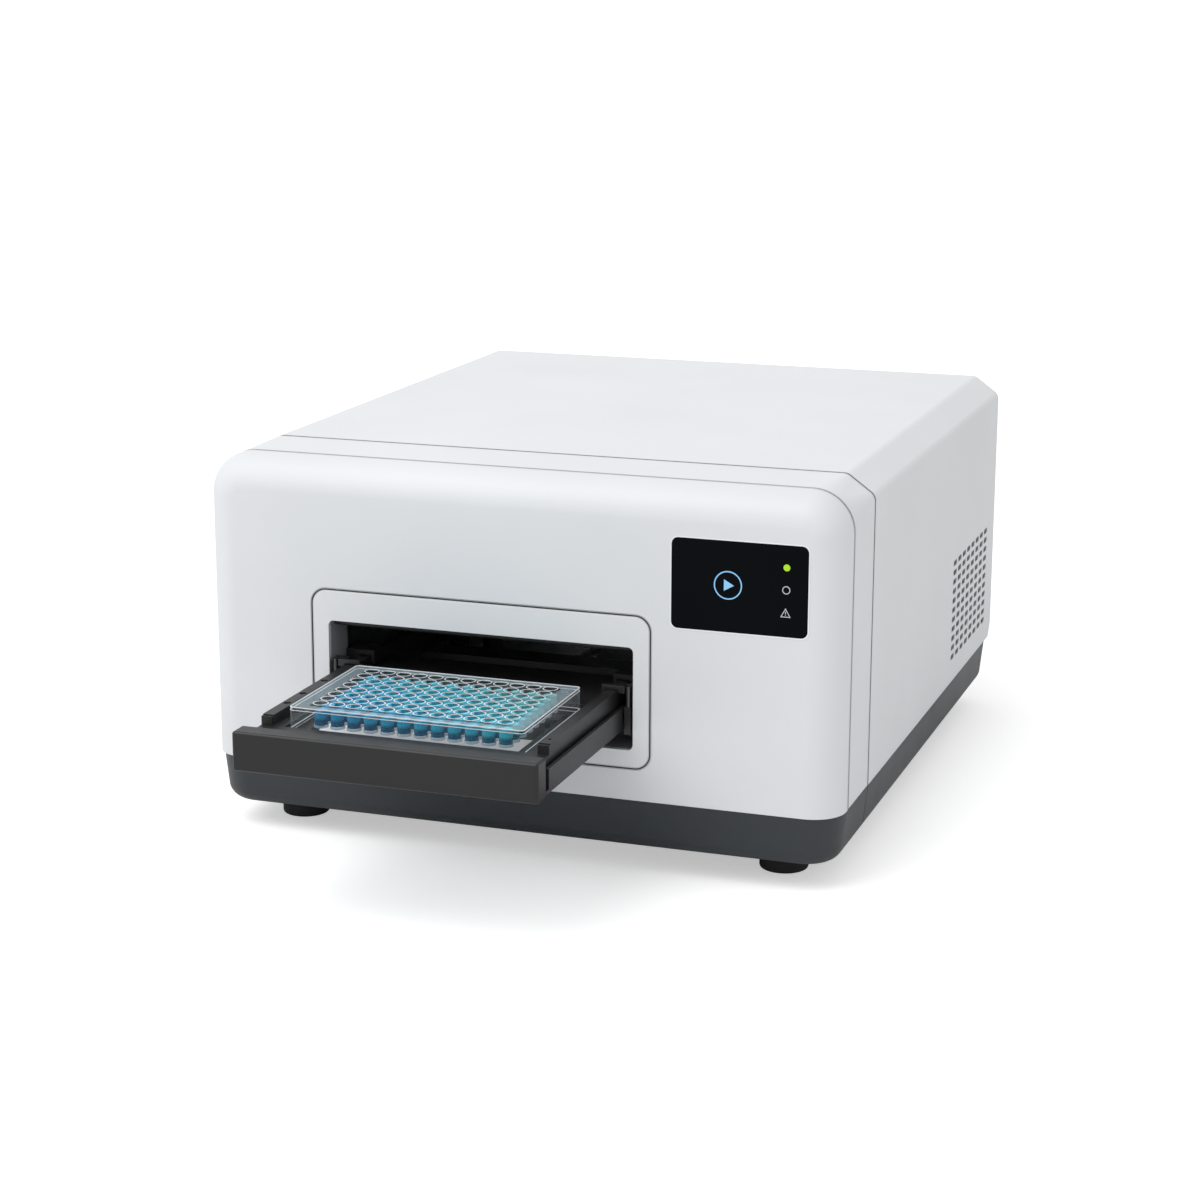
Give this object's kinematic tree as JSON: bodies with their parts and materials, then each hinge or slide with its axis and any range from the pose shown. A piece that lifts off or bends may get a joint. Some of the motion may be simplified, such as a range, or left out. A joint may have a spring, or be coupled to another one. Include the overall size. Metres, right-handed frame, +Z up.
{
  "type": "microplate reader",
  "caption": "Benchtop reader with a white moulded housing on a slate base, a motorised plate drawer, scanning optics, a touch display and side vents.",
  "frame": {"origin": "on the bench, at the middle of the footprint with the drawer out", "axes": "+X to the user's right, +Y from the drawer to the rear panel, +Z up"},
  "size_m": [0.353, 0.526, 0.208],
  "materials": {
    "cover_white": "fine spark-eroded moulded plastic, cool white",
    "trim_white": "fine moulded plastic, cool white",
    "liner_grey": "dark grey moulded plastic",
    "flap_black": "matt black, light tight",
    "display_black": "polished black cover glass",
    "circuit_green": "solder resist over fibreglass",
    "base_slate": "slate grey moulded plastic",
    "foot_rubber": "black rubber",
    "bright_steel": "ground and plated steel",
    "zinc_steel": "zinc plated sheet",
    "rail_black": "black satin coating",
    "cap_black": "black nylon",
    "dark_steel": "dark plated steel",
    "drawer_charcoal": "charcoal satin plastic",
    "clear_plastic": "clear polystyrene",
    "sample_blue": "dyed water",
    "brass": "turned brass",
    "aluminium": "milled aluminium",
    "motor_black": "black painted motor",
    "optics_black": "black anodised",
    "rear_grey": "light grey powder coat",
    "socket_black": "black moulded plastic",
    "rocker_black": "black gloss plastic",
    "fan_black": "black moulded plastic"
  },
  "bodies": {
    "root": {"front_panel": "cover_white", "door_trim": "trim_white", "opening_liner": "liner_grey", "display_glass": "display_black", "display_board": "circuit_green", "bezel_ring": "cover_white", "main_cover": "cover_white", "base_front": "base_slate", "base_tub": "base_slate", "rubber_feet": "foot_rubber", "foot_screws": "bright_steel", "chassis_plate": "zinc_steel", "fixed_rail_left": "rail_black", "fixed_rail_right": "rail_black", "guide_shoes": "rail_black", "guide_pins": "dark_steel", "screw_bearing": "aluminium", "motor_bracket": "zinc_steel", "tray_motor": "motor_black", "optics_frame": "aluminium", "head_rods": "bright_steel", "detector_rods": "bright_steel", "lamp_module": "aluminium", "filter_motor": "bright_steel", "power_supply": "zinc_steel", "main_board": "circuit_green", "board_standoffs": "brass", "rear_panel": "rear_grey", "power_inlet": "socket_black", "switch_frame": "socket_black", "data_ports": "dark_steel", "fan_frame": "socket_black", "fan_guard": "bright_steel", "rear_screws": "bright_steel"},
    "tray": {"drawer_front": "drawer_charcoal", "channel_left": "rail_black", "channel_right": "rail_black", "runner_caps": "cap_black", "plate_carrier": "rail_black", "tray_crossbar": "rail_black", "clamp_pin": "bright_steel", "microplate": "clear_plastic", "sample_liquid": "sample_blue", "drive_nut": "brass"},
    "clamp": {"plate_clamp": "dark_steel"},
    "screw": {"lead_screw": "bright_steel"},
    "flap": {"light_flap": "flap_black"},
    "head": {"read_head": "optics_black"},
    "detector": {"detector_head": "optics_black"},
    "wheel": {"filter_wheel": "optics_black"},
    "fan": {"fan_rotor": "fan_black"},
    "rocker": {"rocker_switch": "rocker_black"}
  },
  "joints": [
    {"name": "tray_slide", "type": "slide", "parent": "root", "child": "tray", "axis": [0, 1, 0], "range_m": [0, 0.125]},
    {"name": "clamp_pivot", "type": "hinge", "parent": "tray", "child": "clamp", "pos_m": [0.0338, -0.14472, 0.094], "axis": [0, 0, -1], "range_deg": [0, 30], "stiffness_Nm_per_rad": 0.02, "springref_deg": -17.19},
    {"name": "screw_spin", "type": "hinge", "parent": "root", "child": "screw", "pos_m": [-0.0182, 0, 0.068], "axis": [0, 1, 0], "continuous": true},
    {"name": "flap_hinge", "type": "hinge", "parent": "root", "child": "flap", "pos_m": [-0.0182, -0.128, 0.12], "axis": [-1, 0, 0], "range_deg": [0, 90]},
    {"name": "head_slide", "type": "slide", "parent": "root", "child": "head", "axis": [1, 0, 0], "range_m": [-0.0495, 0.0495]},
    {"name": "detector_slide", "type": "slide", "parent": "root", "child": "detector", "axis": [1, 0, 0], "range_m": [-0.0495, 0.0495]},
    {"name": "wheel_spin", "type": "hinge", "parent": "root", "child": "wheel", "pos_m": [-0.1177, -0.08576, 0.13095], "axis": [1, 0, 0], "continuous": true},
    {"name": "fan_spin", "type": "hinge", "parent": "root", "child": "fan", "pos_m": [-0.062, 0.24, 0.119], "axis": [0, 1, 0], "continuous": true},
    {"name": "rocker_tip", "type": "hinge", "parent": "root", "child": "rocker", "pos_m": [0.066, 0.2565, 0.073], "axis": [1, 0, 0], "range_deg": [-16, 0]}
  ],
  "couplings": [
    {"joint": "screw_spin", "follows": "tray_slide", "rad_per_m": 628.32},
    {"joint": "detector_slide", "follows": "head_slide", "ratio": 1}
  ]
}
